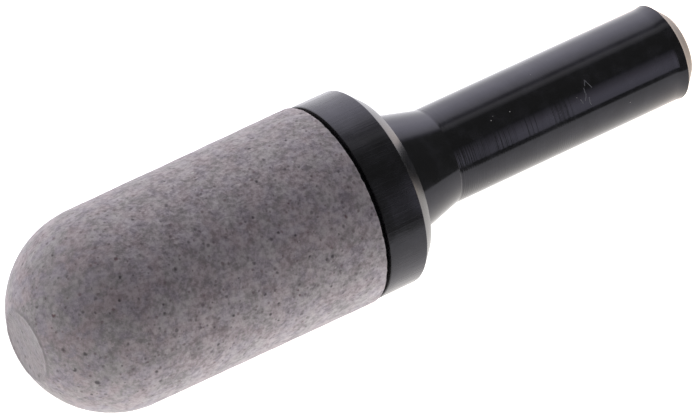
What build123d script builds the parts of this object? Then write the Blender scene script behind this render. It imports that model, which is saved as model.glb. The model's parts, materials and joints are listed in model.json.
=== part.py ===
from build123d import *

import math
import os

# Push-in air stone: a porous thimble pressed onto a turned plastic connector.
#
# The axis of both pieces is X. The plug stem points along +X, the closed dome along -X, and +Z is up.
# The origin is on the axis at the root of the stem, where its straight plug begins. Millimetres.

# --- Driving dimensions: connector -------------------------------------------------------------------
STEM_RADIUS = 4.0  # plug for an 8 mm push-in fitting
STEM_LENGTH = 21.95  # straight plug, before the tip's lead-in
STEM_CHAMFER = 1.05  # 45 degree lead-in at the tip
BORE_RADIUS = 2.25  # air passage from the stem's tip to the spigot's end
BORE_EDGE = 0.15  # edge break at the tip's mouth
BORE_COUNTERSINK = 0.6  # wider mouth inside the thimble

NECK_LENGTH = 4.95  # cone between the collar's back face and the stem
NECK_RADIUS = 5.35  # the cone's large end
NECK_FILLET = 0.2  # where the cone runs into the stem

COLLAR_RADIUS = 8.2
COLLAR_LENGTH = 4.9  # from the shoulder, where the thimble seats, to the back face
COLLAR_CHAMFER = 1.15  # 45 degrees, on the stem's side
COLLAR_EDGE = 0.08  # edge breaks of the collar's rim
RELIEF_WIDTH = 0.4  # shadow groove between the collar's rim and the thimble
RELIEF_RADIUS = 7.5  # floor of that groove

SPIGOT_LENGTH = 6.0
SPIGOT_RADIUS = 5.75
SPIGOT_LEAD_IN = 0.5
BARB_RADIUS = 5.98
BARB_LENGTH = 1.3  # axial length of a barb's ramp
BARB_STEPS = (1.2, 3.4)  # distance of each barb's step from the shoulder

# --- Driving dimensions: porous thimble --------------------------------------------------------------
BODY_MOUTH_RADIUS = 8.32
DOME_RADIUS = 8.15  # the moulding draft takes the wall from the mouth radius down to this
BODY_STRAIGHT = 20.0  # from the mouth to the dome's centre
TIP_FLAT_RADIUS = 2.95  # small flat at the end of the dome
MOUTH_EDGE = 0.12  # worn edge of the mouth

CAVITY_RADIUS = 5.8
TIP_WALL = 2.4  # thickness behind the tip's flat

# --- Places along X ----------------------------------------------------------------------------------
COLLAR_BACK = -NECK_LENGTH
SHOULDER = COLLAR_BACK - COLLAR_LENGTH
SPIGOT_END = SHOULDER - SPIGOT_LENGTH
STEM_TIP = STEM_LENGTH + STEM_CHAMFER
DOME_CENTRE = SHOULDER - BODY_STRAIGHT
TIP_FLAT = DOME_CENTRE - math.sqrt(DOME_RADIUS**2 - TIP_FLAT_RADIUS**2)
CAVITY_END = TIP_FLAT + TIP_WALL
CAVITY_CENTRE = CAVITY_END + CAVITY_RADIUS


def ring_edges(piece, x, radius):
    """The circular edges of a turned piece at this place along X, with this radius."""
    tolerance = 1e-4
    circles = piece.edges().filter_by(GeomType.CIRCLE)
    at_place = circles.filter_by_position(Axis.X, x - tolerance, x + tolerance)
    return at_place.filter_by(lambda edge: abs(edge.radius - radius) < tolerance)


# --- Connector: spigot, shoulder, collar, neck and stem, turned from one bar -------------------------
with BuildPart() as connector:
    with BuildSketch(Plane.XZ):
        with BuildLine():
            Polyline(
                (SPIGOT_END, 0),
                (SPIGOT_END, SPIGOT_RADIUS),
                (SHOULDER, SPIGOT_RADIUS),
                (SHOULDER, RELIEF_RADIUS),
                (SHOULDER + RELIEF_WIDTH, RELIEF_RADIUS),
                (SHOULDER + RELIEF_WIDTH, COLLAR_RADIUS),
                (COLLAR_BACK, COLLAR_RADIUS),
                (COLLAR_BACK, NECK_RADIUS),
                (0, STEM_RADIUS),
                (STEM_TIP, STEM_RADIUS),
                (STEM_TIP, 0),
                close=True,
            )
        make_face()
    revolve(axis=Axis.X)

    chamfer(ring_edges(connector, COLLAR_BACK, COLLAR_RADIUS), COLLAR_CHAMFER)
    chamfer(ring_edges(connector, STEM_TIP, STEM_RADIUS), STEM_CHAMFER)
    chamfer(ring_edges(connector, SPIGOT_END, SPIGOT_RADIUS), SPIGOT_LEAD_IN)
    fillet(ring_edges(connector, 0, STEM_RADIUS), NECK_FILLET)
    fillet(ring_edges(connector, SHOULDER + RELIEF_WIDTH, COLLAR_RADIUS), COLLAR_EDGE)
    fillet(ring_edges(connector, COLLAR_BACK - COLLAR_CHAMFER, COLLAR_RADIUS), COLLAR_EDGE)

    # Barbs: each ramp rises towards the shoulder and drops back in a square step.
    with BuildSketch(Plane.XZ):
        for step in BARB_STEPS:
            with BuildLine():
                Polyline(
                    (SHOULDER - step - BARB_LENGTH, SPIGOT_RADIUS),
                    (SHOULDER - step, BARB_RADIUS),
                    (SHOULDER - step, BORE_RADIUS + BORE_COUNTERSINK),
                    (SHOULDER - step - BARB_LENGTH, BORE_RADIUS + BORE_COUNTERSINK),
                    close=True,
                )
            make_face()
    revolve(axis=Axis.X)

    # Air bore, drilled right through.
    with BuildSketch(Plane.YZ.offset(SPIGOT_END)):
        Circle(BORE_RADIUS)
    extrude(amount=STEM_TIP - SPIGOT_END, mode=Mode.SUBTRACT)
    chamfer(ring_edges(connector, SPIGOT_END, BORE_RADIUS), BORE_COUNTERSINK)
    chamfer(ring_edges(connector, STEM_TIP, BORE_RADIUS), BORE_EDGE)

# --- Porous body: the sintered thimble, pressed over the spigot up to the shoulder -------------------
with BuildPart() as porous_body:
    with BuildSketch(Plane.XZ):
        with BuildLine():
            Polyline((TIP_FLAT, 0), (SHOULDER, 0), (SHOULDER, BODY_MOUTH_RADIUS), (DOME_CENTRE, DOME_RADIUS))
            RadiusArc((DOME_CENTRE, DOME_RADIUS), (TIP_FLAT, TIP_FLAT_RADIUS), -DOME_RADIUS)
            Line((TIP_FLAT, TIP_FLAT_RADIUS), (TIP_FLAT, 0))
        make_face()
    revolve(axis=Axis.X)
    fillet(ring_edges(porous_body, SHOULDER, BODY_MOUTH_RADIUS), MOUTH_EDGE)

    # Cavity: a straight bore that ends in a hemisphere.
    with BuildSketch(Plane.XZ):
        with BuildLine():
            Polyline((CAVITY_END, 0), (SHOULDER, 0), (SHOULDER, CAVITY_RADIUS), (CAVITY_CENTRE, CAVITY_RADIUS))
            RadiusArc((CAVITY_CENTRE, CAVITY_RADIUS), (CAVITY_END, 0), -CAVITY_RADIUS)
        make_face()
    revolve(axis=Axis.X, mode=Mode.SUBTRACT)

    # The barbs press their own grooves into the mouth.
    add(connector.part, mode=Mode.SUBTRACT)

# --- Files -------------------------------------------------------------------------------------------
connector.part.label = "connector"
porous_body.part.label = "porous_body"

os.makedirs("parts", exist_ok=True)
export_step(connector.part, "parts/connector.step")
export_step(porous_body.part, "parts/porous_body.step")
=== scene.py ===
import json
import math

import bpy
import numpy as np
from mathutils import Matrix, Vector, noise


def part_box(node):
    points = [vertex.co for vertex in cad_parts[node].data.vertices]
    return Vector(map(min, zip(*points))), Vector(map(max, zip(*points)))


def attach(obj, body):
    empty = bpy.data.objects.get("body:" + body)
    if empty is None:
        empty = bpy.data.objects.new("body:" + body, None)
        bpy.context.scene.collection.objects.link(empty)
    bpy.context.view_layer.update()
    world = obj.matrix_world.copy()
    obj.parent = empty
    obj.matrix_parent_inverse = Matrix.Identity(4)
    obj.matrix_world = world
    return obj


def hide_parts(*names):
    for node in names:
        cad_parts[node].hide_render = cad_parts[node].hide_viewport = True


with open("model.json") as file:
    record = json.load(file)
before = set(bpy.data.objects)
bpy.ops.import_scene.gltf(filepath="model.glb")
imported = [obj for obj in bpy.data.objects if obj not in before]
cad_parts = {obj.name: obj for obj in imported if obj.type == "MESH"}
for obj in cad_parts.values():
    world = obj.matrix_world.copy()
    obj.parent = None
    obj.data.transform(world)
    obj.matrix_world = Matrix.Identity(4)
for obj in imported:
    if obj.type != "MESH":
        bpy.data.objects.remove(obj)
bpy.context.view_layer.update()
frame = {"record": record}

# The looks of a push-in air stone: a grey-mauve sintered thimble and a turned black connector.
#
# Blender objects are in metres. Outlines, textures and the studio are worked out in millimetres, in the
# row frame: X runs along the axis towards the stem's tip, +Z is up. MM turns them into metres where they
# are handed to Blender. Angles about the axis are in degrees from +Y, over the top (+Z).

MM = 0.001

# --- Sizes (mm) --------------------------------------------------------------------------------------
thimble_low, thimble_high = (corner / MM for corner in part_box("porous_body"))
connector_low, connector_high = (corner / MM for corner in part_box("connector"))
mounts = {mount["name"]: mount for mount in frame["record"]["mounts"]}

STEM_RADIUS = mounts["plug_stem"]["dims"]["r_mm"]
BORE_RADIUS = mounts["air_bore"]["dims"]["r_mm"]
STEM_TIP = connector_high.x
STEM_CHAMFER = 1.05
COLLAR_BACK = mounts["collar_back"]["pos_m"][0] / MM
COLLAR_RADIUS = connector_high.z
COLLAR_CHAMFER = 1.15
NECK_RADIUS = 5.35
SHOULDER = thimble_high.x  # the plane in which the thimble seats
RELIEF_WIDTH = 0.4
RELIEF_RADIUS = 7.5
SPIGOT_END = connector_low.x
SPIGOT_RADIUS = 5.75

MOUTH_RADIUS = thimble_high.z
DOME_RADIUS = 8.15
TIP_FLAT = thimble_low.x
TIP_FLAT_RADIUS = 2.95
DOME_CENTRE = TIP_FLAT + math.sqrt(DOME_RADIUS**2 - TIP_FLAT_RADIUS**2)
CAVITY_RADIUS = 5.8
TIP_WALL = 2.4
CAVITY_CENTRE = TIP_FLAT + TIP_WALL + CAVITY_RADIUS


# --- Turned shapes -----------------------------------------------------------------------------------
AXIS_TOLERANCE = 1e-6


def rounded(corners, steps=6):
    """An outline of straight runs with its corners rounded: corners are (x, radius, rounding)."""
    points = []
    for before, corner, after in zip(corners[:-2], corners[1:-1], corners[2:]):
        points.extend(corner_arc(before[:2], corner, after[:2], steps))
    return [corners[0][:2], *points, corners[-1][:2]]


def corner_arc(before, corner, after, steps):
    """The points of one rounded corner, on a curve that leaves both straight runs smoothly."""
    here = Vector(corner[:2])
    rounding = corner[2]
    if rounding == 0:
        return [tuple(here)]
    to_before = (Vector(before) - here).normalized()
    to_after = (Vector(after) - here).normalized()
    half_angle = to_before.angle(to_after) / 2
    reach = rounding / math.tan(half_angle)
    centre = here + (to_before + to_after).normalized() * (rounding / math.sin(half_angle))
    first = here + to_before * reach - centre
    last = here + to_after * reach - centre
    turn = first.angle_signed(last)
    arc = [Matrix.Rotation(-turn * step / steps, 2) @ first + centre for step in range(steps + 1)]
    return [tuple(point) for point in arc]


def arc(centre, radius, start, end, steps):
    """Points on an arc about (centre, 0); angles in degrees from +X."""
    angles = np.radians(np.linspace(start, end, steps + 1))
    return [(centre + radius * math.cos(a), radius * math.sin(a)) for a in angles]


def resampled(outline, step):
    """The same outline with points no further apart than step."""
    points = [outline[0]]
    for start, end in zip(outline[:-1], outline[1:]):
        count = max(1, math.ceil(math.dist(start, end) / step))
        for i in range(1, count + 1):
            share = i / count
            points.append((start[0] + (end[0] - start[0]) * share, start[1] + (end[1] - start[1]) * share))
    return points


def lathe(name, outline, segments, closed=False):
    """A mesh turned about X from an outline of (x, radius). Ends on the axis become single vertices."""
    vertices = []
    rings = []
    angles = np.linspace(0, 2 * math.pi, segments, endpoint=False)
    for x, radius in outline:
        start = len(vertices)
        if radius < AXIS_TOLERANCE:
            vertices.append((x, 0, 0))
            rings.append([start] * segments)
            continue
        vertices.extend((x, radius * math.cos(a), radius * math.sin(a)) for a in angles)
        rings.append(list(range(start, start + segments)))
    if closed:
        rings.append(rings[0])
    faces = []
    for ring, following in zip(rings[:-1], rings[1:]):
        for i in range(segments):
            j = (i + 1) % segments
            corners = (ring[i], ring[j], following[j], following[i])
            faces.append(tuple(dict.fromkeys(corners)))
    mesh = bpy.data.meshes.new(name)
    mesh.from_pydata([Vector(v) * MM for v in vertices], [], faces)
    mesh.update()
    mesh.shade_smooth()
    piece = bpy.data.objects.new(name, mesh)
    bpy.context.scene.collection.objects.link(piece)
    return piece


def face_outwards(piece):
    """Turns the faces so that they look away from the solid."""
    mesh = piece.data
    volume = sum(face.center.dot(face.normal) * face.area for face in mesh.polygons)
    if volume < 0:
        mesh.flip_normals()


# --- Porous thimble ----------------------------------------------------------------------------------
GRAIN_STEP = 0.15  # spacing of the outer surface's vertices
THIMBLE_SEGMENTS = 370
DOME_STEPS = 66
CAVITY_STEPS = 14
MOUTH_ROUNDING = 0.14
CAVITY_ROUNDING = 0.1
BEAD_SIZE = 0.42  # sintered beads that show as relief
BEAD_RELIEF = 0.022
BEAD_WANDER = 0.1  # how far the beads' centres stray, in bead sizes
LUMP_SIZE = 1.6  # slow unevenness left by the mould
LUMP_RELIEF = 0.02
PIT_SIZE = 1.15  # spacing of the pits left by missing beads
PIT_RADIUS = 0.16
PIT_DEPTH = 0.07
SKIN = 0.15  # vertices this near the cavity belong to its wall, and get no relief
MOUTH_CRUMBLE = 0.12  # how far grains have broken from the mouth's edge
CRUMBLE_ALONG = 0.25  # how far along the axis the broken edge reaches
CRUMBLE_INWARDS = 0.4
CRUMBLE_SIZE = 0.9
CRUMBLE_PLACE = Vector((7, 3, 5))  # takes the coarse breaks from a place of their own in the noise
FINE_CRUMBLE_SIZE = 0.4
FINE_CRUMBLE_SHARE = 0.4
TIP_RIM_HEIGHT = 0.035  # raised witness line round the tip's flat
TIP_RIM_WIDTH = 0.15


def thimble_outline():
    """Outer skin from the flat at the tip to the mouth, then the cavity back to the axis."""
    rim = [
        (TIP_FLAT, 0),
        (TIP_FLAT, TIP_FLAT_RADIUS - 2 * TIP_RIM_WIDTH),
        (TIP_FLAT - TIP_RIM_HEIGHT, TIP_FLAT_RADIUS - TIP_RIM_WIDTH),
        (TIP_FLAT - TIP_RIM_HEIGHT, TIP_FLAT_RADIUS),
    ]
    rim_angle = 180 - math.degrees(math.asin((TIP_FLAT_RADIUS + TIP_RIM_WIDTH / 2) / DOME_RADIUS))
    dome = arc(DOME_CENTRE, DOME_RADIUS, rim_angle, 90, DOME_STEPS)
    mouth = rounded(
        [
            (DOME_CENTRE + GRAIN_STEP, DOME_RADIUS, 0),
            (SHOULDER, MOUTH_RADIUS, MOUTH_ROUNDING),
            (SHOULDER, CAVITY_RADIUS, CAVITY_ROUNDING),
            (CAVITY_CENTRE, CAVITY_RADIUS, 0),
        ]
    )
    outside = resampled(rim + dome + mouth[:-2], GRAIN_STEP)
    inside = arc(CAVITY_CENTRE, CAVITY_RADIUS, 90, 180, CAVITY_STEPS)
    return outside + mouth[-2:-1] + inside[:-1] + [(CAVITY_CENTRE - CAVITY_RADIUS, 0)]


def grain_height(point):
    """Relief of the sintered surface at a point, in mm: rounded beads, pits and slow lumps."""
    lump = noise.noise(point / LUMP_SIZE)
    wander = noise.noise_vector(point / BEAD_SIZE) * BEAD_WANDER
    bead_distance = noise.voronoi(point / BEAD_SIZE + wander)[0][0]
    bead = 0.5 - min(1.0, bead_distance)
    pit_distance = noise.voronoi(point / PIT_SIZE)[0][0] * PIT_SIZE
    pit = max(0.0, 1 - pit_distance / PIT_RADIUS)
    return lump * LUMP_RELIEF + bead * BEAD_RELIEF - pit * pit * PIT_DEPTH


def crumble_depth(point):
    """How far the mouth's edge has broken back at a point, in mm."""
    nearness = max(0.0, 1 - abs(SHOULDER - point.x) / CRUMBLE_ALONG)
    coarse = noise.noise(point / CRUMBLE_SIZE + CRUMBLE_PLACE)
    fine = noise.noise(point / FINE_CRUMBLE_SIZE) * FINE_CRUMBLE_SHARE
    return nearness * max(0.0, coarse + fine) * MOUTH_CRUMBLE


def add_grain(piece):
    """Moves each outer vertex along its normal by the grain's relief, and crumbles the mouth's edge."""
    mesh = piece.data
    moved = []
    for vertex in mesh.vertices:
        point = vertex.co / MM
        radius = math.hypot(point.y, point.z)
        outside = radius > CAVITY_RADIUS + SKIN or point.x < TIP_FLAT + TIP_WALL / 2
        height = grain_height(point) if outside else 0.0
        place = point + vertex.normal * height
        if radius > MOUTH_RADIUS - CRUMBLE_INWARDS:
            place.x -= crumble_depth(point)
        moved.append(place * MM)
    for vertex, place in zip(mesh.vertices, moved):
        vertex.co = place
    mesh.update()


def make_thimble():
    piece = lathe("sintered_thimble", thimble_outline(), THIMBLE_SEGMENTS)
    face_outwards(piece)
    add_grain(piece)
    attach(piece, "root")
    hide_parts("porous_body")
    piece.data.materials.append(sintered_plastic())


# --- Turned connector --------------------------------------------------------------------------------
CONNECTOR_SEGMENTS = 160
SHARP = 0.04  # edge breaks that a turning tool leaves
SOFT = 0.1
BARB_RADIUS = 5.98
BARB_LENGTH = 1.3
BARB_STEPS = (3.4, 1.2)
SPIGOT_LEAD_IN = 0.5
COUNTERSINK = 0.6
BORE_EDGE = 0.15
NECK_FILLET = 0.1
BURR_HEIGHT = 0.06  # thrown up where the tip's lead-in was cut
BURR_WIDTH = 0.14
STEM_START = 0.1  # where the neck's fillet has ended
OUTLINE_STEP = 1.0

# Rings that the tool left round the stem. Strengths are in parts of the depth.
TOOL_MARK_PITCH = 0.21
TOOL_MARK_DEPTH = 0.0042
TOOL_MARK_RANGE = (0.15, 14.0)
TOOL_MARK_STEP = 0.042
TOOL_MARK_FADE = 3  # length over which they die out at the far end
ROOT_STRENGTH = 1.4  # beside the neck
ROOT_REACH = 2.2  # length over which that strength falls by 1
BAND_STRENGTH = 0.55  # further out they come in bands about this mean
BAND_SWING = 1.1
BANDS_PER_MM = 0.45
UNEVENNESS_PER_MM = 6.0
RING_MEAN = 0.7
RING_SINK = 1.4  # keeps nearly all of it below the stem's true surface
BAND_ROW = 5.0  # rows of the noise, one for the bands and one for the unevenness
UNEVENNESS_ROW = 2.0


def connector_outline():
    """From the bore's mouth in the thimble, over the spigot, collar, neck and stem, to the stem's tip."""
    corners = [
        (SPIGOT_END + COUNTERSINK, BORE_RADIUS, 0),
        (SPIGOT_END, BORE_RADIUS + COUNTERSINK, SHARP),
        (SPIGOT_END, SPIGOT_RADIUS - SPIGOT_LEAD_IN, SHARP),
        (SPIGOT_END + SPIGOT_LEAD_IN, SPIGOT_RADIUS, SHARP),
    ]
    for step in BARB_STEPS:
        corners.append((SHOULDER - step - BARB_LENGTH, SPIGOT_RADIUS, SHARP))
        corners.append((SHOULDER - step, BARB_RADIUS, SHARP / 2))
        corners.append((SHOULDER - step, SPIGOT_RADIUS, SHARP))
    collar_front = SHOULDER + RELIEF_WIDTH
    corners += [
        (SHOULDER, SPIGOT_RADIUS, SHARP),
        (SHOULDER, RELIEF_RADIUS, SHARP),
        (collar_front, RELIEF_RADIUS, SHARP),
        (collar_front, COLLAR_RADIUS, SOFT),
        (COLLAR_BACK - COLLAR_CHAMFER, COLLAR_RADIUS, SOFT),
        (COLLAR_BACK, COLLAR_RADIUS - COLLAR_CHAMFER, SHARP),
        (COLLAR_BACK, NECK_RADIUS, SOFT),
        (0, STEM_RADIUS, NECK_FILLET),
        (STEM_START, STEM_RADIUS, 0),
    ]
    barrel_end = STEM_TIP - STEM_CHAMFER
    tip = [
        (TOOL_MARK_RANGE[1], STEM_RADIUS, 0),
        (barrel_end - BURR_WIDTH, STEM_RADIUS, 0),
        (barrel_end - BURR_WIDTH / 3, STEM_RADIUS + BURR_HEIGHT, SHARP / 2),
        (barrel_end, STEM_RADIUS, 0),
        (STEM_TIP, STEM_RADIUS - STEM_CHAMFER, SHARP),
        (STEM_TIP, BORE_RADIUS + BORE_EDGE, SHARP),
        (STEM_TIP - BORE_EDGE, BORE_RADIUS, 0),
    ]
    return resampled(rounded(corners) + tool_marks() + rounded(tip), OUTLINE_STEP)


def tool_marks():
    """The stem's outline in fine uneven rings: deep beside the neck, then in bands that fade out."""
    points = []
    start, end = TOOL_MARK_RANGE
    for x in np.arange(start, end, TOOL_MARK_STEP):
        band = BAND_STRENGTH + BAND_SWING * noise.noise(Vector((x * BANDS_PER_MM, BAND_ROW, 0.0)))
        strength = max(ROOT_STRENGTH - x / ROOT_REACH, band, 0.0) * min(1.0, (end - x) / TOOL_MARK_FADE)
        unevenness = noise.noise(Vector((x * UNEVENNESS_PER_MM, UNEVENNESS_ROW, 0.0)))
        wave = math.sin(2 * math.pi * x / TOOL_MARK_PITCH) * (RING_MEAN + unevenness) + unevenness
        points.append((x, STEM_RADIUS + (wave - RING_SINK) * TOOL_MARK_DEPTH * strength))
    return points


def make_connector():
    piece = lathe("turned_connector", connector_outline(), CONNECTOR_SEGMENTS, closed=True)
    face_outwards(piece)
    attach(piece, "root")
    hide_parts("connector")
    piece.data.materials.append(turned_plastic())


# --- Material helpers --------------------------------------------------------------------------------
SMALLEST_SPOT = 0.4


class Nodes:
    """Adds shader nodes to one material or world, and links them by plain calls."""

    def __init__(self, tree):
        self.tree = tree
        tree.nodes.clear()

    def add(self, kind, inputs=None, **settings):
        node = self.tree.nodes.new(kind)
        for name, value in settings.items():
            setattr(node, name, value)
        for name, value in (inputs or {}).items():
            self.feed(node.inputs[name], value)
        return node

    def feed(self, socket, value):
        if isinstance(value, bpy.types.NodeSocket):
            self.tree.links.new(value, socket)
        else:
            socket.default_value = value

    def math(self, operation, first, second=0.0, third=0.0, clamp=False):
        node = self.tree.nodes.new("ShaderNodeMath")
        node.operation = operation
        node.use_clamp = clamp
        for socket, value in zip(node.inputs, (first, second, third)):
            self.feed(socket, value)
        return node.outputs[0]

    def mix(self, factor, first, second):
        """A colour between first, at factor 0, and second, at factor 1."""
        node = self.tree.nodes.new("ShaderNodeMix")
        node.data_type = "RGBA"
        for name, value in (("Factor_Float", factor), ("A_Color", first), ("B_Color", second)):
            socket = next(s for s in node.inputs if s.identifier == name)
            self.feed(socket, (*value, 1.0) if isinstance(value, tuple) and len(value) == 3 else value)
        return next(s for s in node.outputs if s.identifier == "Result_Color")

    def ramp(self, value, low, high, to_low=0.0, to_high=1.0):
        """value from low..high carried smoothly to to_low..to_high, and held there outside."""
        node = self.add("ShaderNodeMapRange", interpolation_type="SMOOTHSTEP")
        for name, number in zip(("Value", "From Min", "From Max", "To Min", "To Max"),
                                (value, low, high, to_low, to_high)):
            self.feed(node.inputs[name], number)
        return node.outputs[0]

    def stops(self, value, low, high, stops, brightest):
        """A colour that follows stops, (value, colour), in straight runs, and comes out over brightest."""
        node = self.add("ShaderNodeValToRGB", {"Fac": self.ramp_linear(value, low, high)})
        elements = node.color_ramp.elements
        for i, (place, colour) in enumerate(stops):
            element = elements[i] if i < 2 else elements.new(1.0)
            element.position = (place - low) / (high - low)
            element.color = (*(c / brightest for c in colour), 1.0)
        return node.outputs["Color"]

    def ramp_linear(self, value, low, high):
        """value from low..high carried to 0..1 in a straight line, and held there outside."""
        node = self.add("ShaderNodeMapRange", {"Value": value, "From Min": low, "From Max": high})
        return node.outputs[0]

    def noise(self, vector, scale, detail=2.0, roughness=0.5):
        node = self.add("ShaderNodeTexNoise", {"Vector": vector, "Scale": scale, "Detail": detail,
                                               "Roughness": roughness})
        return node.outputs[0]

    def cells(self, vector, scale):
        """Distance to the nearest of randomly strewn points, in cells, and that cell's random colour."""
        node = self.add("ShaderNodeTexVoronoi", {"Vector": vector, "Scale": scale})
        return node.outputs["Distance"], node.outputs["Color"]


def mm_coordinates(nodes):
    """Object coordinates in millimetres."""
    coordinates = nodes.add("ShaderNodeTexCoord").outputs["Object"]
    scaled = nodes.add("ShaderNodeVectorMath", {0: coordinates}, operation="SCALE")
    scaled.inputs["Scale"].default_value = 1 / MM
    return scaled.outputs[0]


def stretched(nodes, vector, factors):
    """The coordinates multiplied axis by axis, which stretches a texture along the small ones."""
    node = nodes.add("ShaderNodeVectorMath", {0: vector, 1: factors}, operation="MULTIPLY")
    return node.outputs[0]


def strewn(nodes, vector, factors, spacing, radius, softness):
    """A mask of small spots strewn at random, about spacing apart, and a random number for each spot.

    Their radii run from SMALLEST_SPOT times radius upwards. factors stretch the pattern axis by axis, so
    that each set of spots has its own.
    """
    distance, colour = nodes.cells(stretched(nodes, vector, factors), 1 / spacing)
    size, number, _ = nodes.add("ShaderNodeSeparateColor", {"Color": colour}).outputs
    own_radius = nodes.math("MULTIPLY_ADD", size, radius / spacing, SMALLEST_SPOT * radius / spacing)
    far = nodes.math("DIVIDE", distance, own_radius)
    return nodes.ramp(far, 1.0, 1.0 - softness), number


def distance_to(nodes, vector, point):
    """Distance in mm to a point."""
    node = nodes.add("ShaderNodeVectorMath", {0: vector, 1: point}, operation="DISTANCE")
    return node.outputs["Value"]


def spot(nodes, vector, centre, radius, edge, strength=1.0):
    """A mask of one round spot, which fades between edge[0] and edge[1] times its radius."""
    outer, inner = edge
    return nodes.ramp(distance_to(nodes, vector, centre), radius * outer, radius * inner, 0.0, strength)


def past(nodes, along, edge, blur):
    """A mask of what lies beyond this place along an axis."""
    return nodes.ramp(along, edge - blur, edge + blur)


def short_of(nodes, along, edge, blur):
    """A mask of what lies before this place along an axis."""
    return nodes.ramp(along, edge + blur, edge - blur)


def scratch(nodes, vector, start, end, width):
    """A mask of a fine straight scratch between two points."""
    run = Vector(end) - Vector(start)
    per_run = run / run.length_squared
    away = nodes.add("ShaderNodeVectorMath", {0: vector, 1: start}, operation="SUBTRACT").outputs[0]
    share = nodes.add("ShaderNodeVectorMath", {0: away, 1: per_run}, operation="DOT_PRODUCT")
    share = nodes.math("ADD", share.outputs["Value"], 0.0, clamp=True)
    beside = nodes.add("ShaderNodeVectorMath", {0: run, "Scale": share}, operation="SCALE").outputs[0]
    return nodes.ramp(distance_to(nodes, away, beside), width, width / 4)


def bump(nodes, height, strength, distance):
    """A normal disturbed by this height; distance is in mm."""
    inputs = {"Height": height, "Strength": strength, "Distance": distance * MM}
    return nodes.add("ShaderNodeBump", inputs).outputs[0]


def new_material(name):
    material = bpy.data.materials.new(name)
    material.use_nodes = True
    nodes = Nodes(material.node_tree)
    shader = nodes.add("ShaderNodeBsdfPrincipled")
    output = nodes.add("ShaderNodeOutputMaterial")
    nodes.tree.links.new(shader.outputs[0], output.inputs[0])
    return material, nodes, shader


# --- Sintered plastic --------------------------------------------------------------------------------
STONE_LIGHT = (0.497, 0.447, 0.465)
STONE_DARK = (0.146, 0.121, 0.128)
STONE_PINK = (0.350, 0.280, 0.298)
STONE_GREY = (0.300, 0.294, 0.291)
STONE_VIOLET = (0.300, 0.272, 0.323)
SPECK_COLOUR = (0.060, 0.049, 0.057)
SPECK_REDDISH = (0.132, 0.070, 0.080)
FLECK_COLOUR = (0.58, 0.56, 0.55)
TIP_COLOUR = (0.225, 0.213, 0.217)

# Body colour. Scales are in cycles per mm; ranges are the part of the noise that runs from one colour to
# the other.
MOTTLE_SCALE = 2.2
MOTTLE_DETAIL = 5.0
MOTTLE_ROUGHNESS = 0.72
MOTTLE_RANGE = (0.30, 0.70)
PATCH_SCALE = 0.8  # slower patches, which add to the mottling
PATCH_SHARE = 0.34
HUE_SCALE = 0.55
HUE_RANGE = (0.38, 0.62)
VIOLET_SCALE = 0.8
VIOLET_FACTORS = (1.0, -1.0, 1.1)
VIOLET_RANGE = (0.45, 0.65)
BARREL_EVENNESS = 0.34  # share of the slow tints in the colour
DOME_EVENNESS = 0.52
DOME_EVENNESS_RANGE = (DOME_CENTRE + 2, TIP_FLAT + 2)

# Sets of specks, strewn at random, and how far each covers the body colour.
FINE_SPECKS = {"factors": (1.0, 1.0, 1.0), "spacing": 0.55, "radius": 0.15, "softness": 0.7}
MIDDLING_SPECKS = {"factors": (1.02, 0.97, 1.0), "spacing": 1.0, "radius": 0.17, "softness": 0.7}
BOLD_SPECKS = {"factors": (1.0, 1.0, 1.0), "spacing": 1.9, "radius": 0.18, "softness": 0.6}
PALE_FLECKS = {"factors": (1.0, 1.03, 0.97), "spacing": 1.9, "radius": 0.13, "softness": 0.6}
FINE_COVER = 0.55
MIDDLING_COVER = 0.65
BOLD_COVER = 0.85
PALE_COVER = 0.55
BOLD_REDDISH_RANGE = (0.6, 0.8)
WANDER = 0.16  # how far the specks' outlines stray from round
WANDER_SCALE = 4.0
MARK_EDGE = (1.2, 0.4)
MARK_COVER = 0.85
TIP_MARK_EDGE = (1.4, 0.3)
TIP_MARK_COVER = 0.7
TIP_TINT = 0.5
TIP_TINT_RANGE = (TIP_FLAT + 0.12, TIP_FLAT + 0.04)

# Relief finer than the mesh, and the sheen.
BEAD_SCALE = 3.6
BEAD_BUMP = 0.8
BOLD_SPECK_BUMP = 0.9
GRAIN_SCALE = 7.0
GRAIN_DETAIL = 3.0
GRAIN_ROUGHNESS = 0.6
GRAIN_RANGE = (0.3, 0.7)
STONE_BUMP_STRENGTH = 0.6
STONE_BUMP_DISTANCE = 0.06
STONE_ROUGHNESS = (0.95, 0.78)
STONE_IOR = 1.48
STONE_SPECULAR = 0.4
SHEEN_WEIGHT = 0.35
SHEEN_ROUGHNESS = 0.45
SHEEN_TINT = (0.98, 0.95, 0.97, 1.0)

# Dark marks on the tip's flat: (y, z, radius).
TIP_MARKS = (
    (0.25, -1.39, 0.16),
    (-0.36, -1.97, 0.18),
    (-2.19, -0.26, 0.13),
    (0.57, 1.02, 0.12),
    (1.34, -0.69, 0.12),
    (0.70, -0.81, 0.10),
    (-1.68, -1.81, 0.15),
)

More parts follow.
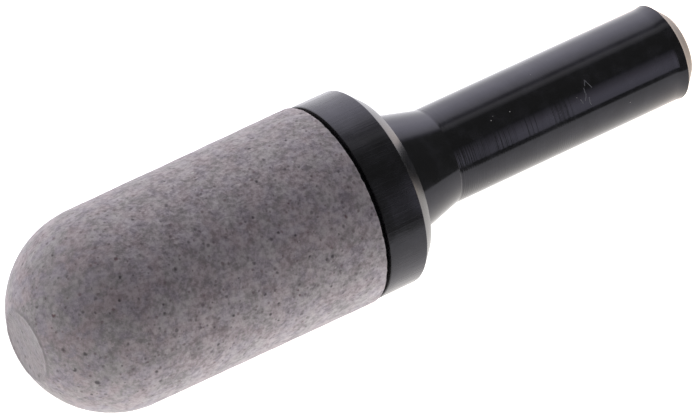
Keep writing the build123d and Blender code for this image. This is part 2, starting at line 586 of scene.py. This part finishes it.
# The boldest specks on the dome and the barrel: (x, angle about the axis, radius).
STONE_MARKS = (
    (-35.00, 179.4, 0.24),
    (-35.31, -165.9, 0.15),
    (-34.08, 79.5, 0.13),
    (-32.00, 129.1, 0.14),
    (-30.82, 177.2, 0.16),
    (-28.97, 141.0, 0.12),
    (-27.64, 89.6, 0.12),
    (-25.47, 165.7, 0.12),
    (-25.30, 178.0, 0.15),
    (-25.14, 151.4, 0.11),
    (-24.83, -166.4, 0.12),
    (-23.71, 163.8, 0.14),
    (-23.21, 72.0, 0.12),
    (-20.72, 160.3, 0.15),
    (-20.57, 173.8, 0.15),
    (-19.88, -179.2, 0.12),
    (-19.77, 169.1, 0.12),
    (-19.38, 118.8, 0.15),
    (-18.05, 131.9, 0.14),
    (-17.50, 101.2, 0.14),
    (-16.86, 137.2, 0.13),
    (-16.35, 150.8, 0.12),
    (-15.97, 77.7, 0.15),
    (-15.01, 174.0, 0.12),
    (-14.49, 156.4, 0.16),
    (-13.27, 84.3, 0.13),
)


def on_stone(x, angle):
    """The point of the thimble's surface at this place along it and this angle about it."""
    turn = math.radians(angle)
    if x < DOME_CENTRE:
        radius = math.sqrt(DOME_RADIUS**2 - (x - DOME_CENTRE) ** 2)
    else:
        share = (x - DOME_CENTRE) / (SHOULDER - DOME_CENTRE)
        radius = DOME_RADIUS + (MOUTH_RADIUS - DOME_RADIUS) * share
    return (x, radius * math.cos(turn), radius * math.sin(turn))


def sintered_plastic():
    """Grey-mauve sintered polyethylene: mottled beads, dark and reddish specks, a few pale flecks."""
    material, nodes, shader = new_material("sintered_plastic")
    place = mm_coordinates(nodes)
    axial = nodes.add("ShaderNodeSeparateXYZ", {"Vector": place}).outputs[0]
    wander = nodes.add("ShaderNodeTexNoise", {"Vector": place, "Scale": WANDER_SCALE, "Detail": 2.0})
    inputs = {0: wander.outputs["Color"], 1: (WANDER, WANDER, WANDER), 2: place}
    shifted = nodes.add("ShaderNodeVectorMath", inputs, operation="MULTIPLY_ADD").outputs[0]

    body, bold = speckled_colour(nodes, place, shifted, axial)
    on_flat = nodes.ramp(axial, *TIP_TINT_RANGE, 0.0, TIP_TINT)
    body = nodes.mix(on_flat, body, TIP_COLOUR)
    for y, z, radius in TIP_MARKS:
        mark = spot(nodes, place, (TIP_FLAT, y, z), radius, TIP_MARK_EDGE, TIP_MARK_COVER)
        body = nodes.mix(mark, body, SPECK_COLOUR)
    nodes.feed(shader.inputs["Base Color"], body)

    bead_distance, _ = nodes.cells(shifted, BEAD_SCALE)
    grains = nodes.noise(place, GRAIN_SCALE, GRAIN_DETAIL, GRAIN_ROUGHNESS)
    relief = nodes.math("SUBTRACT", grains, nodes.math("MULTIPLY", bead_distance, BEAD_BUMP))
    relief = nodes.math("SUBTRACT", relief, nodes.math("MULTIPLY", bold, BOLD_SPECK_BUMP))
    nodes.feed(shader.inputs["Normal"], bump(nodes, relief, STONE_BUMP_STRENGTH, STONE_BUMP_DISTANCE))

    nodes.feed(shader.inputs["Roughness"], nodes.ramp(grains, *GRAIN_RANGE, *STONE_ROUGHNESS))
    shader.inputs["IOR"].default_value = STONE_IOR
    shader.inputs["Specular IOR Level"].default_value = STONE_SPECULAR
    shader.inputs["Sheen Weight"].default_value = SHEEN_WEIGHT
    shader.inputs["Sheen Roughness"].default_value = SHEEN_ROUGHNESS
    shader.inputs["Sheen Tint"].default_value = SHEEN_TINT
    return material


def speckled_colour(nodes, place, shifted, axial):
    """The mottled body colour under its specks, and the mask of the bold ones."""
    mottle = nodes.noise(place, MOTTLE_SCALE, MOTTLE_DETAIL, MOTTLE_ROUGHNESS)
    mottle = nodes.math("MULTIPLY_ADD", nodes.noise(place, PATCH_SCALE), PATCH_SHARE, mottle)
    mottle = nodes.math("SUBTRACT", mottle, PATCH_SHARE / 2)
    hue = nodes.noise(place, HUE_SCALE, 3.0)
    violet = nodes.noise(stretched(nodes, place, VIOLET_FACTORS), VIOLET_SCALE, 3.0)
    body = nodes.mix(nodes.ramp(mottle, *MOTTLE_RANGE), STONE_DARK, STONE_LIGHT)
    tint = nodes.mix(nodes.ramp(hue, *HUE_RANGE), STONE_GREY, STONE_PINK)
    tint = nodes.mix(nodes.ramp(violet, *VIOLET_RANGE), tint, STONE_VIOLET)
    evenness = nodes.ramp(axial, *DOME_EVENNESS_RANGE, BARREL_EVENNESS, DOME_EVENNESS)
    body = nodes.mix(evenness, body, tint)

    fine, fine_number = strewn(nodes, shifted, **FINE_SPECKS)
    colour = nodes.mix(fine_number, SPECK_COLOUR, SPECK_REDDISH)
    body = nodes.mix(nodes.math("MULTIPLY", fine, FINE_COVER), body, colour)
    middling, _ = strewn(nodes, shifted, **MIDDLING_SPECKS)
    body = nodes.mix(nodes.math("MULTIPLY", middling, MIDDLING_COVER), body, SPECK_COLOUR)
    bold, bold_number = strewn(nodes, shifted, **BOLD_SPECKS)
    colour = nodes.mix(nodes.ramp(bold_number, *BOLD_REDDISH_RANGE), SPECK_COLOUR, SPECK_REDDISH)
    body = nodes.mix(nodes.math("MULTIPLY", bold, BOLD_COVER), body, colour)
    for x, angle, radius in STONE_MARKS:
        centre = [part + WANDER / 2 for part in on_stone(x, angle)]
        mark = spot(nodes, shifted, centre, radius, MARK_EDGE, MARK_COVER)
        body = nodes.mix(mark, body, SPECK_COLOUR)
    pale, _ = strewn(nodes, shifted, **PALE_FLECKS)
    body = nodes.mix(nodes.math("MULTIPLY", pale, PALE_COVER), body, FLECK_COLOUR)
    return body, bold


# --- Turned plastic ----------------------------------------------------------------------------------
ACETAL_BLACK = (0.0065, 0.0065, 0.007)
ACETAL_SCUFFED = (0.014, 0.014, 0.016)
SCRATCH_COLOUR = (0.14, 0.14, 0.15)
DUST_COLOUR = (0.34, 0.33, 0.32)
JUNCTION_HIGHLIGHT_COLOUR = (0.09, 0.085, 0.085)  # painted highlight: a lighter line where the neck meets the stem
HIGHLIGHT_ANGLE = 196  # the painted highlight is whole on this side, and fades with the distance from there
HIGHLIGHT_REACH = (3.8, 1.5)
HIGHLIGHT_LINE = (0.07, 0.02)  # half of the line's width, without and with its full colour
SCRATCH_WIDTH = 0.055
DUST_EDGE = (1.0, 0.4)

# Roughness of each region, and the ranges over which noise carries it from one value to the other.
GLOSS = (0.09, 0.13)
SATIN = (0.15, 0.31)
LEAD_IN_ROUGHNESS = 0.36
CHAMFER_ROUGHNESS = 0.24
SCRATCH_ROUGHNESS = 0.5
NOISE_RANGE = (0.3, 0.7)
SCUFF_RANGE = (0.4, 0.7)
SCUFF_SCALE = 0.7
COLLAR_BLUR = 0.05
CHAMFER_BLUR = 0.02
LEAD_IN_BLUR = 0.03
NECK_BLUR = 0.1

# Fine relief: streaks along the collar, and feed marks round the stem that come in bands.
STREAK_FACTORS = (0.22, 5.0, 5.0)
STREAK_RELIEF = 3.0
RING_FACTORS = (9.0, 0.25, 0.25)
BAND_FACTORS = (0.35, 0.02, 0.02)
BAND_RANGE = (0.35, 0.65)
BAND_RELIEF = (0.8, 2.0)
GROOVE_PITCH = 0.14  # feed of the turning tool along the stem
GROOVE_SHARE = 0.25
FEED_RANGE = (13.0, -1.0)  # from the stem's middle to its root
FEED_RELIEF = (0.3, 1.0)
ACETAL_BUMP_STRENGTH = 0.5
ACETAL_BUMP_DISTANCE = 0.006
ACETAL_IOR = 1.48

# Scratches on the stem, each a run of points (x, angle about the axis).
SCRATCHES = (
    ((12.71, 128.7), (12.90, 122.8), (13.14, 131.3), (13.20, 134.1)),
    ((12.54, 131.1), (12.49, 139.0), (12.29, 144.9)),
    ((12.68, 143.2), (12.62, 148.9), (12.68, 152.2)),
    ((11.91, 141.4), (12.02, 146.1)),
)

# Specks of dust on the stem: (x, angle about the axis, radius).
DUST = (
    (4.08, 120.0, 0.07),
    (5.88, 119.8, 0.07),
    (4.40, 116.6, 0.05),
    (11.65, 137.4, 0.05),
    (9.3, 88.0, 0.05),
    (16.2, 171.0, 0.05),
    (2.7, 196.0, 0.06),
    (17.8, 20.0, 0.05),
    (7.9, -60.0, 0.06),
    (13.4, -110.0, 0.05),
)


def on_stem(x, angle):
    """The point of the stem's surface at this place along it and this angle about it."""
    turn = math.radians(angle)
    return (x, STEM_RADIUS * math.cos(turn), STEM_RADIUS * math.sin(turn))


def turned_plastic():
    """Black acetal: satin collar with fine streaks along it, glossy neck and stem with feed marks."""
    material, nodes, shader = new_material("turned_plastic")
    place = mm_coordinates(nodes)
    axial = nodes.add("ShaderNodeSeparateXYZ", {"Vector": place}).outputs[0]
    on_collar = short_of(nodes, axial, COLLAR_BACK - COLLAR_CHAMFER, COLLAR_BLUR)
    streaks = nodes.noise(stretched(nodes, place, STREAK_FACTORS), 1.0, 3.0, 0.6)
    scuffs = nodes.noise(place, SCUFF_SCALE, 3.0, 0.6)
    scratched, dust = wear_masks(nodes, place)

    base = nodes.mix(nodes.ramp(scuffs, *SCUFF_RANGE), ACETAL_BLACK, ACETAL_SCUFFED)
    base = nodes.mix(scratched, base, SCRATCH_COLOUR)
    # Painted highlight: a lighter line round the junction of neck and stem, whole on one side and fading
    # away from it.
    junction = nodes.ramp(nodes.math("ABSOLUTE", axial), *HIGHLIGHT_LINE)
    lit_side = nodes.ramp(distance_to(nodes, place, on_stem(0, HIGHLIGHT_ANGLE)), *HIGHLIGHT_REACH)
    base = nodes.mix(nodes.math("MULTIPLY", junction, lit_side), base, JUNCTION_HIGHLIGHT_COLOUR)
    nodes.feed(shader.inputs["Base Color"], nodes.mix(dust, base, DUST_COLOUR))

    on_chamfer = nodes.math(
        "MULTIPLY",
        past(nodes, axial, COLLAR_BACK - COLLAR_CHAMFER, CHAMFER_BLUR),
        short_of(nodes, axial, COLLAR_BACK, CHAMFER_BLUR),
    )
    on_lead_in = past(nodes, axial, STEM_TIP - STEM_CHAMFER, LEAD_IN_BLUR)
    gloss = nodes.ramp(scuffs, *NOISE_RANGE, *GLOSS)
    satin = nodes.ramp(streaks, *NOISE_RANGE, *SATIN)
    roughness = nodes.math("MULTIPLY_ADD", on_collar, nodes.math("SUBTRACT", satin, gloss), gloss)
    for mask, value in (
        (on_lead_in, LEAD_IN_ROUGHNESS),
        (on_chamfer, CHAMFER_ROUGHNESS),
        (scratched, SCRATCH_ROUGHNESS),
        (dust, 1.0),
    ):
        roughness = nodes.math("MAXIMUM", roughness, nodes.math("MULTIPLY", mask, value))
    nodes.feed(shader.inputs["Roughness"], roughness)

    collar_relief = nodes.math("MULTIPLY", streaks, on_collar)
    relief = nodes.math("MULTIPLY_ADD", collar_relief, STREAK_RELIEF, feed_marks(nodes, place, axial))
    nodes.feed(shader.inputs["Normal"], bump(nodes, relief, ACETAL_BUMP_STRENGTH, ACETAL_BUMP_DISTANCE))
    shader.inputs["IOR"].default_value = ACETAL_IOR
    return material


def wear_masks(nodes, place):
    """Masks of the scratches and of the dust specks on the stem."""
    scratched = 0.0
    for points in SCRATCHES:
        for start, end in zip(points[:-1], points[1:]):
            line = scratch(nodes, place, on_stem(*start), on_stem(*end), SCRATCH_WIDTH)
            scratched = nodes.math("MAXIMUM", line, scratched)
    dust = 0.0
    for x, angle, radius in DUST:
        speck = spot(nodes, place, on_stem(x, angle), radius, DUST_EDGE)
        dust = nodes.math("MAXIMUM", speck, dust)
    return scratched, dust


def feed_marks(nodes, place, axial):
    """Relief of the fine rings round the stem: strongest towards the neck, and none on the neck."""
    rings = nodes.noise(stretched(nodes, place, RING_FACTORS), 1.0, 2.0, 0.6)
    turns = nodes.math("MULTIPLY", axial, 2 * math.pi / GROOVE_PITCH)
    feed = nodes.math("MULTIPLY_ADD", nodes.math("SINE", turns), GROOVE_SHARE, rings)
    near_root = nodes.ramp(axial, *FEED_RANGE, *FEED_RELIEF)
    past_neck = past(nodes, axial, 0, NECK_BLUR)
    feed = nodes.math("MULTIPLY", feed, nodes.math("MULTIPLY", near_root, past_neck))
    bands = nodes.noise(stretched(nodes, place, BAND_FACTORS), 1.0, 1.0)
    return nodes.math("MULTIPLY", feed, nodes.ramp(bands, *BAND_RANGE, *BAND_RELIEF))


# --- Studio ------------------------------------------------------------------------------------------
# Each stop is (angle about the axis, or place along Y, and radiance). Ends are places along X.
TENT_DISTANCE = 600
TENT_ENDS = (-500, 1000)
TENT_STOPS = (
    (-1, (1.50, 1.47, 1.64)),
    (10, (1.58, 1.54, 1.78)),
    (24, (1.83, 1.78, 2.11)),
    (40, (1.73, 1.68, 2.05)),
    (52, (1.46, 1.42, 1.69)),
    (60, (1.13, 1.10, 1.29)),
    (66, (0.38, 0.37, 0.45)),
    (70, (0.26, 0.25, 0.32)),
)
# A fainter strip beside the tent's front edge.
STRIP_ENDS = (-500, 420)
STRIP_STOPS = (
    (70, (0.26, 0.25, 0.32)),
    (77, (0.78, 0.76, 0.84)),
    (83, (0.54, 0.53, 0.58)),
    (90, (0.10, 0.10, 0.11)),
)
# A card near the stem, which shows in the stem's front as a lit band.
CARD_DISTANCE = 150
CARD_ENDS = (62, 100)
CARD_STOPS = (
    (134, (0.10, 0.10, 0.12)),
    (142, (0.46, 0.44, 0.55)),
    (150, (0.75, 0.70, 0.91)),
    (158, (1.04, 0.99, 1.27)),
    (166, (1.15, 1.11, 1.44)),
    (176, (1.00, 0.97, 1.24)),
    (188, (0.84, 0.81, 1.02)),
)
# What lights the matte stone: only diffuse rays find it, so the gloss keeps the panels above.
FILL_DISTANCE = 400
FILL_ENDS = (-400, 600)
FILL_STOPS = (
    (-1, (1.50, 1.48, 1.44)),
    (25, (1.88, 1.90, 1.86)),
    (50, (1.80, 1.84, 1.84)),
    (75, (0.76, 0.73, 0.77)),
    (100, (0.02, 0.02, 0.02)),
    (188, (0.02, 0.02, 0.02)),
)
LOW_FILL_GAP = 0.05  # above the floor
LOW_FILL_X = (-160, 60)
LOW_FILL_Y = (-50, -4)
LOW_FILL_GLOW = (1.95, 1.95, 1.93)
BRIGHTEST = 3.0  # colours are kept below 1 and glow this many times as bright
PANEL_STEP = 3.0  # degrees between a panel's vertices

# The floor's glow along Y: brightest just in front of the axis, dimmer beneath it, bright again behind.
FLOOR_STOPS = (
    (-50, (1.06, 1.05, 1.15)),
    (-28, (1.10, 1.07, 1.18)),
    (-20, (1.20, 1.17, 1.27)),
    (-11, (1.33, 1.28, 1.36)),
    (-5, (1.60, 1.54, 1.50)),
    (-1, (1.42, 1.37, 1.33)),
    (2, (1.32, 1.29, 1.26)),
    (5, (1.34, 1.31, 1.29)),
    (12, (1.32, 1.31, 1.34)),
    (20, (1.45, 1.43, 1.50)),
    (27, (1.57, 1.55, 1.64)),
    (60, (1.59, 1.57, 1.70)),
)
FLOOR_X = (-1500, -400, -150, -75, -50, -25, 0, 25, 50, 75, 150, 400, 1500)
FLOOR_Y = (-50, -25, -10, 5, 20, 50, 100, 250, 600, 1500)
WARM_PLACE = (50, 5, 0)  # a warmer glow past the stem's tip
WARM_GLOW = (1.60, 1.37, 1.20)
WARM_REACH = (34, 15)
WORLD_LIGHT = 0.14
WORLD_SEEN = 1.0


def metres(*millimetres):
    return Vector(millimetres) * MM


def stage_piece(name, vertices, faces):
    """A mesh of the studio, not part of the object, and the nodes of its glow."""
    mesh = bpy.data.meshes.new(name)
    mesh.from_pydata([metres(*vertex) for vertex in vertices], [], faces)
    piece = bpy.data.objects.new(name, mesh)
    bpy.context.scene.collection.objects.link(piece)
    material = bpy.data.materials.new(name)
    material.use_nodes = True
    mesh.materials.append(material)
    return piece, Nodes(material.node_tree)


def glow(nodes, colour):
    emission = nodes.add("ShaderNodeEmission", {"Color": colour, "Strength": BRIGHTEST})
    output = nodes.add("ShaderNodeOutputMaterial")
    nodes.tree.links.new(emission.outputs[0], output.inputs[0])


def grid(columns, rows):
    """The faces of a sheet whose vertices run row by row."""
    return [
        (row * columns + i, row * columns + i + 1, (row + 1) * columns + i + 1, (row + 1) * columns + i)
        for row in range(rows - 1)
        for i in range(columns - 1)
    ]


def add_panel(name, distance, ends, stops):
    """A curved luminous sheet about the part's axis, which the camera doesn't see."""
    angles = np.arange(stops[0][0], stops[-1][0] + PANEL_STEP / 6, PANEL_STEP)
    angles[-1] = stops[-1][0]
    vertices = [
        (x, distance * math.cos(math.radians(angle)), distance * math.sin(math.radians(angle)))
        for angle in angles
        for x in ends
    ]
    panel, nodes = stage_piece(name, vertices, grid(len(ends), len(angles)))
    panel.visible_camera = False
    panel.visible_shadow = False
    _, across, up = nodes.add("ShaderNodeSeparateXYZ", {"Vector": mm_coordinates(nodes)}).outputs
    angle = nodes.math("DEGREES", nodes.math("ARCTAN2", up, across))
    glow(nodes, nodes.stops(angle, stops[0][0], stops[-1][0], stops, BRIGHTEST))
    return panel


def add_floor():
    """A plain pale floor that glows softly, as an evenly lit sheet does."""
    level = min(thimble_low.z, connector_low.z)
    vertices = [(x, y, level) for y in FLOOR_Y for x in FLOOR_X]
    floor, nodes = stage_piece("floor", vertices, grid(len(FLOOR_X), len(FLOOR_Y)))
    place = mm_coordinates(nodes)
    away = nodes.add("ShaderNodeSeparateXYZ", {"Vector": place}).outputs[1]
    colour = nodes.stops(away, FLOOR_STOPS[0][0], FLOOR_STOPS[-1][0], FLOOR_STOPS, BRIGHTEST)
    warmth = nodes.ramp(distance_to(nodes, place, WARM_PLACE), *WARM_REACH)
    tint = nodes.mix(warmth, (1.0, 1.0, 1.0), WARM_GLOW)
    glow(nodes, nodes.add("ShaderNodeVectorMath", {0: colour, 1: tint}, operation="MULTIPLY").outputs[0])


def add_low_fill():
    """A glow just over the floor in front, which lights the matte stone from below."""
    level = min(thimble_low.z, connector_low.z) + LOW_FILL_GAP
    corners = [(x, y, level) for y in LOW_FILL_Y for x in LOW_FILL_X]
    sheet, nodes = stage_piece("low_fill", corners, grid(2, 2))
    sheet.visible_camera = False
    sheet.visible_shadow = False
    sheet.visible_glossy = False
    glow(nodes, (*(part / BRIGHTEST for part in LOW_FILL_GLOW), 1.0))


def light_world():
    """Dim surroundings that the part reflects, and a pale backdrop beyond the floor."""
    world = bpy.data.worlds.new("studio")
    bpy.context.scene.world = world
    world.use_nodes = True
    nodes = Nodes(world.node_tree)
    seen = nodes.add("ShaderNodeLightPath").outputs["Is Camera Ray"]
    strength = nodes.math("MULTIPLY_ADD", seen, WORLD_SEEN - WORLD_LIGHT, WORLD_LIGHT)
    background = nodes.add("ShaderNodeBackground", {"Color": (1, 1, 1, 1), "Strength": strength})
    output = nodes.add("ShaderNodeOutputWorld")
    nodes.tree.links.new(background.outputs[0], output.inputs[0])


# --- Camera ------------------------------------------------------------------------------------------
CAMERA_AZIMUTH = -33.5
CAMERA_ELEVATION = 44.6
CAMERA_DISTANCE = 467.06
CAMERA_LENS = 308.4
AIM_X = SHOULDER + 0.1  # the view is aimed beside this point of the axis
AIM_RIGHT = 1.50
AIM_UP = -0.245
CLIP_START = 0.05  # metres
CLIP_END = 20


def add_camera():
    azimuth = math.radians(CAMERA_AZIMUTH)
    elevation = math.radians(CAMERA_ELEVATION)
    level = Vector((math.sin(azimuth), -math.cos(azimuth), 0))
    back = level * math.cos(elevation) + Vector((0, 0, math.sin(elevation)))
    right = Vector((math.cos(azimuth), math.sin(azimuth), 0))
    up = back.cross(right)
    aim = Vector((AIM_X, 0, 0)) + right * AIM_RIGHT + up * AIM_UP
    camera = bpy.data.objects.new("camera", bpy.data.cameras.new("camera"))
    camera.data.lens = CAMERA_LENS
    camera.data.clip_start = CLIP_START
    camera.data.clip_end = CLIP_END
    camera.location = (aim + back * CAMERA_DISTANCE) * MM
    camera.rotation_mode = "QUATERNION"
    camera.rotation_quaternion = (-back).to_track_quat("-Z", "Y")
    bpy.context.scene.collection.objects.link(camera)
    bpy.context.scene.camera = camera


# --- Scene -------------------------------------------------------------------------------------------
make_thimble()
make_connector()
add_floor()
add_panel("tent", TENT_DISTANCE, TENT_ENDS, TENT_STOPS)
add_panel("strip", TENT_DISTANCE, STRIP_ENDS, STRIP_STOPS)
add_panel("card", CARD_DISTANCE, CARD_ENDS, CARD_STOPS)
add_panel("fill", FILL_DISTANCE, FILL_ENDS, FILL_STOPS).visible_glossy = False
add_low_fill()
light_world()
add_camera()
bpy.context.scene.view_settings.view_transform = "Standard"
